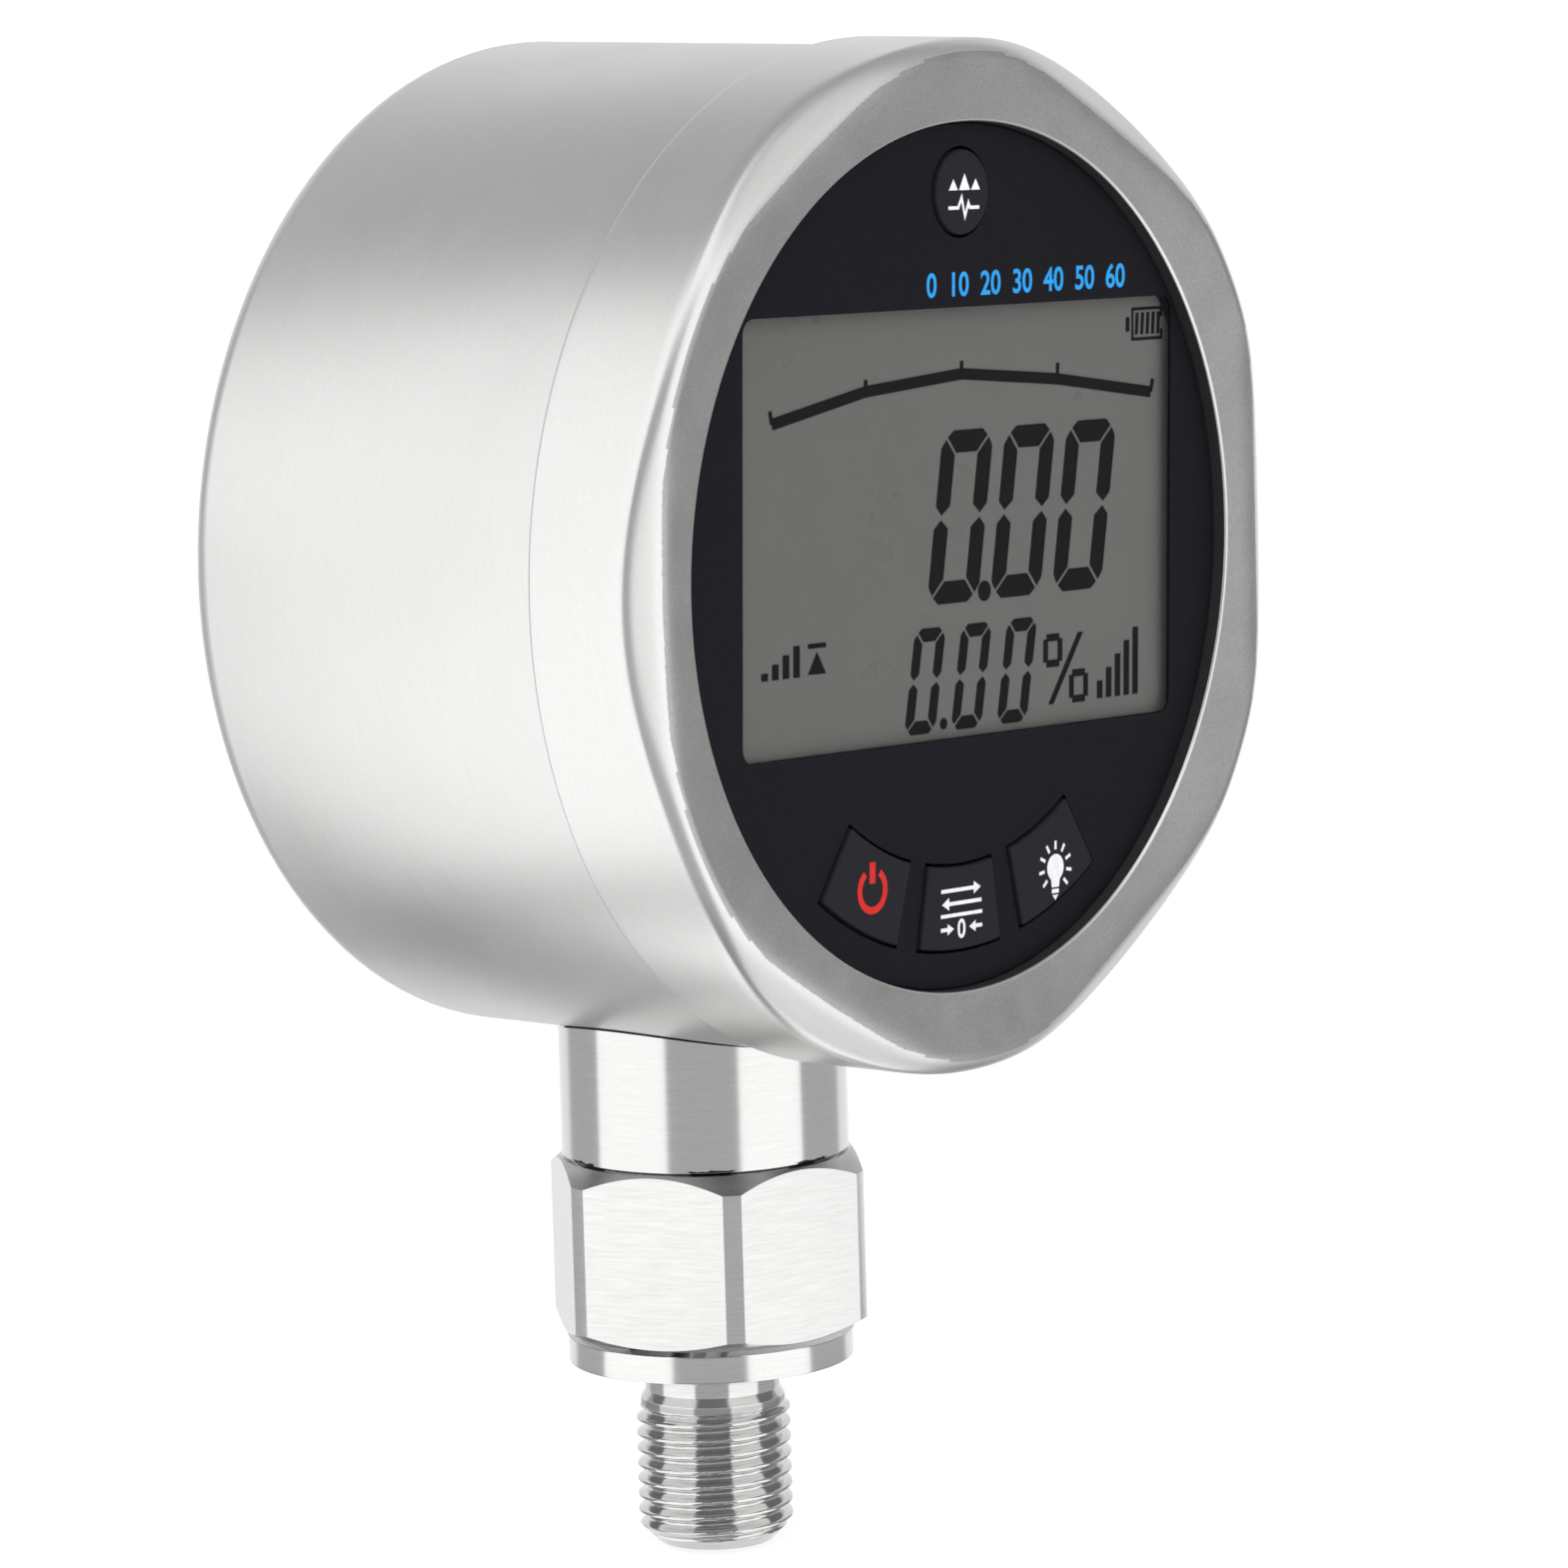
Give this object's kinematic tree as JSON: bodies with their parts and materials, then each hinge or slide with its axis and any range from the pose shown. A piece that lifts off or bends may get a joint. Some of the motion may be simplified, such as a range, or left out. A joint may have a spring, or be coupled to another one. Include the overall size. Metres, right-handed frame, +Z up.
{
  "type": "digital pressure gauge",
  "caption": "Round steel digital pressure gauge with a display, sprung keys, a battery tray and a hexagonal stem with a pipe thread below.",
  "frame": {"origin": "centre of the pressure port's mouth at the tip of the threaded stem, on the stem's axis", "axes": "+Z up the stem, the dial faces -Y, +X to the right as the dial is read"},
  "size_m": [0.085, 0.0495, 0.1285],
  "materials": {
    "case_steel": "fine circumferential satin brushing",
    "bezel_steel": "satin wall, matt front, ground flats",
    "stem_steel": "turned and milled, bright",
    "neck_steel": "turned, fine rings",
    "sensor_steel": "turned",
    "screw_steel": "plated",
    "contact_metal": "nickel plated",
    "brass": "turned",
    "panel_black": "fine matt",
    "key_grey": "soft matt",
    "lens_clear": "clear, polished",
    "display_glass": "polarised grey-green",
    "light_guide": "white moulded",
    "contact_rubber": "layered contact rubber",
    "board_green": "solder mask",
    "chip_black": "moulded",
    "socket_ivory": "moulded",
    "tray_black": "moulded",
    "cell_jacket": "plain printed jacket",
    "ribbon_grey": "flat ribbon",
    "seal_rubber": "nitrile"
  },
  "bodies": {
    "gauge": {"rear_case": "case_steel", "bezel_ring": "bezel_steel", "bezel_seal": "seal_rubber", "panel_gasket": "seal_rubber", "front_panel": "panel_black", "window_lens": "lens_clear", "lcd_glass": "display_glass", "lcd_backlight": "light_guide", "lcd_contact_strips": "contact_rubber", "main_board": "board_green", "board_chips": "chip_black", "board_screws": "screw_steel", "switch_housings": "chip_black", "ribbon_socket": "socket_ivory", "tray_standoffs": "brass", "tray_screws": "screw_steel", "battery_tray": "tray_black", "battery_1": "cell_jacket", "battery_2": "cell_jacket", "battery_3": "cell_jacket", "contact_plates": "contact_metal", "contact_springs": "contact_metal", "sensor_ribbon": "ribbon_grey", "ribbon_plug": "socket_ivory", "sensor_board": "board_green", "sensor_retainer": "stem_steel", "pressure_sensor": "sensor_steel", "sensor_seal": "seal_rubber", "hex_fitting": "stem_steel", "neck_sleeve": "neck_steel", "neck_seal": "seal_rubber", "saddle_washer": "stem_steel", "stem_nut": "stem_steel"},
    "peak_key": {"key_peak": "key_grey", "plunger_peak": "brass"},
    "power_key": {"key_power": "key_grey", "plunger_power": "brass"},
    "unit_key": {"key_unit": "key_grey", "plunger_unit": "brass"},
    "light_key": {"key_light": "key_grey", "plunger_light": "brass"}
  },
  "joints": [
    {"name": "peak_press", "type": "slide", "parent": "gauge", "child": "peak_key", "axis": [0, 1, 0], "range_m": [0, 0.0005], "stiffness_N_per_m": 2000, "springref_m": -0.0003},
    {"name": "power_press", "type": "slide", "parent": "gauge", "child": "power_key", "axis": [0, 1, 0], "range_m": [0, 0.0005], "stiffness_N_per_m": 2000, "springref_m": -0.0003},
    {"name": "unit_press", "type": "slide", "parent": "gauge", "child": "unit_key", "axis": [0, 1, 0], "range_m": [0, 0.0005], "stiffness_N_per_m": 2000, "springref_m": -0.0003},
    {"name": "light_press", "type": "slide", "parent": "gauge", "child": "light_key", "axis": [0, 1, 0], "range_m": [0, 0.0005], "stiffness_N_per_m": 2000, "springref_m": -0.0003}
  ]
}
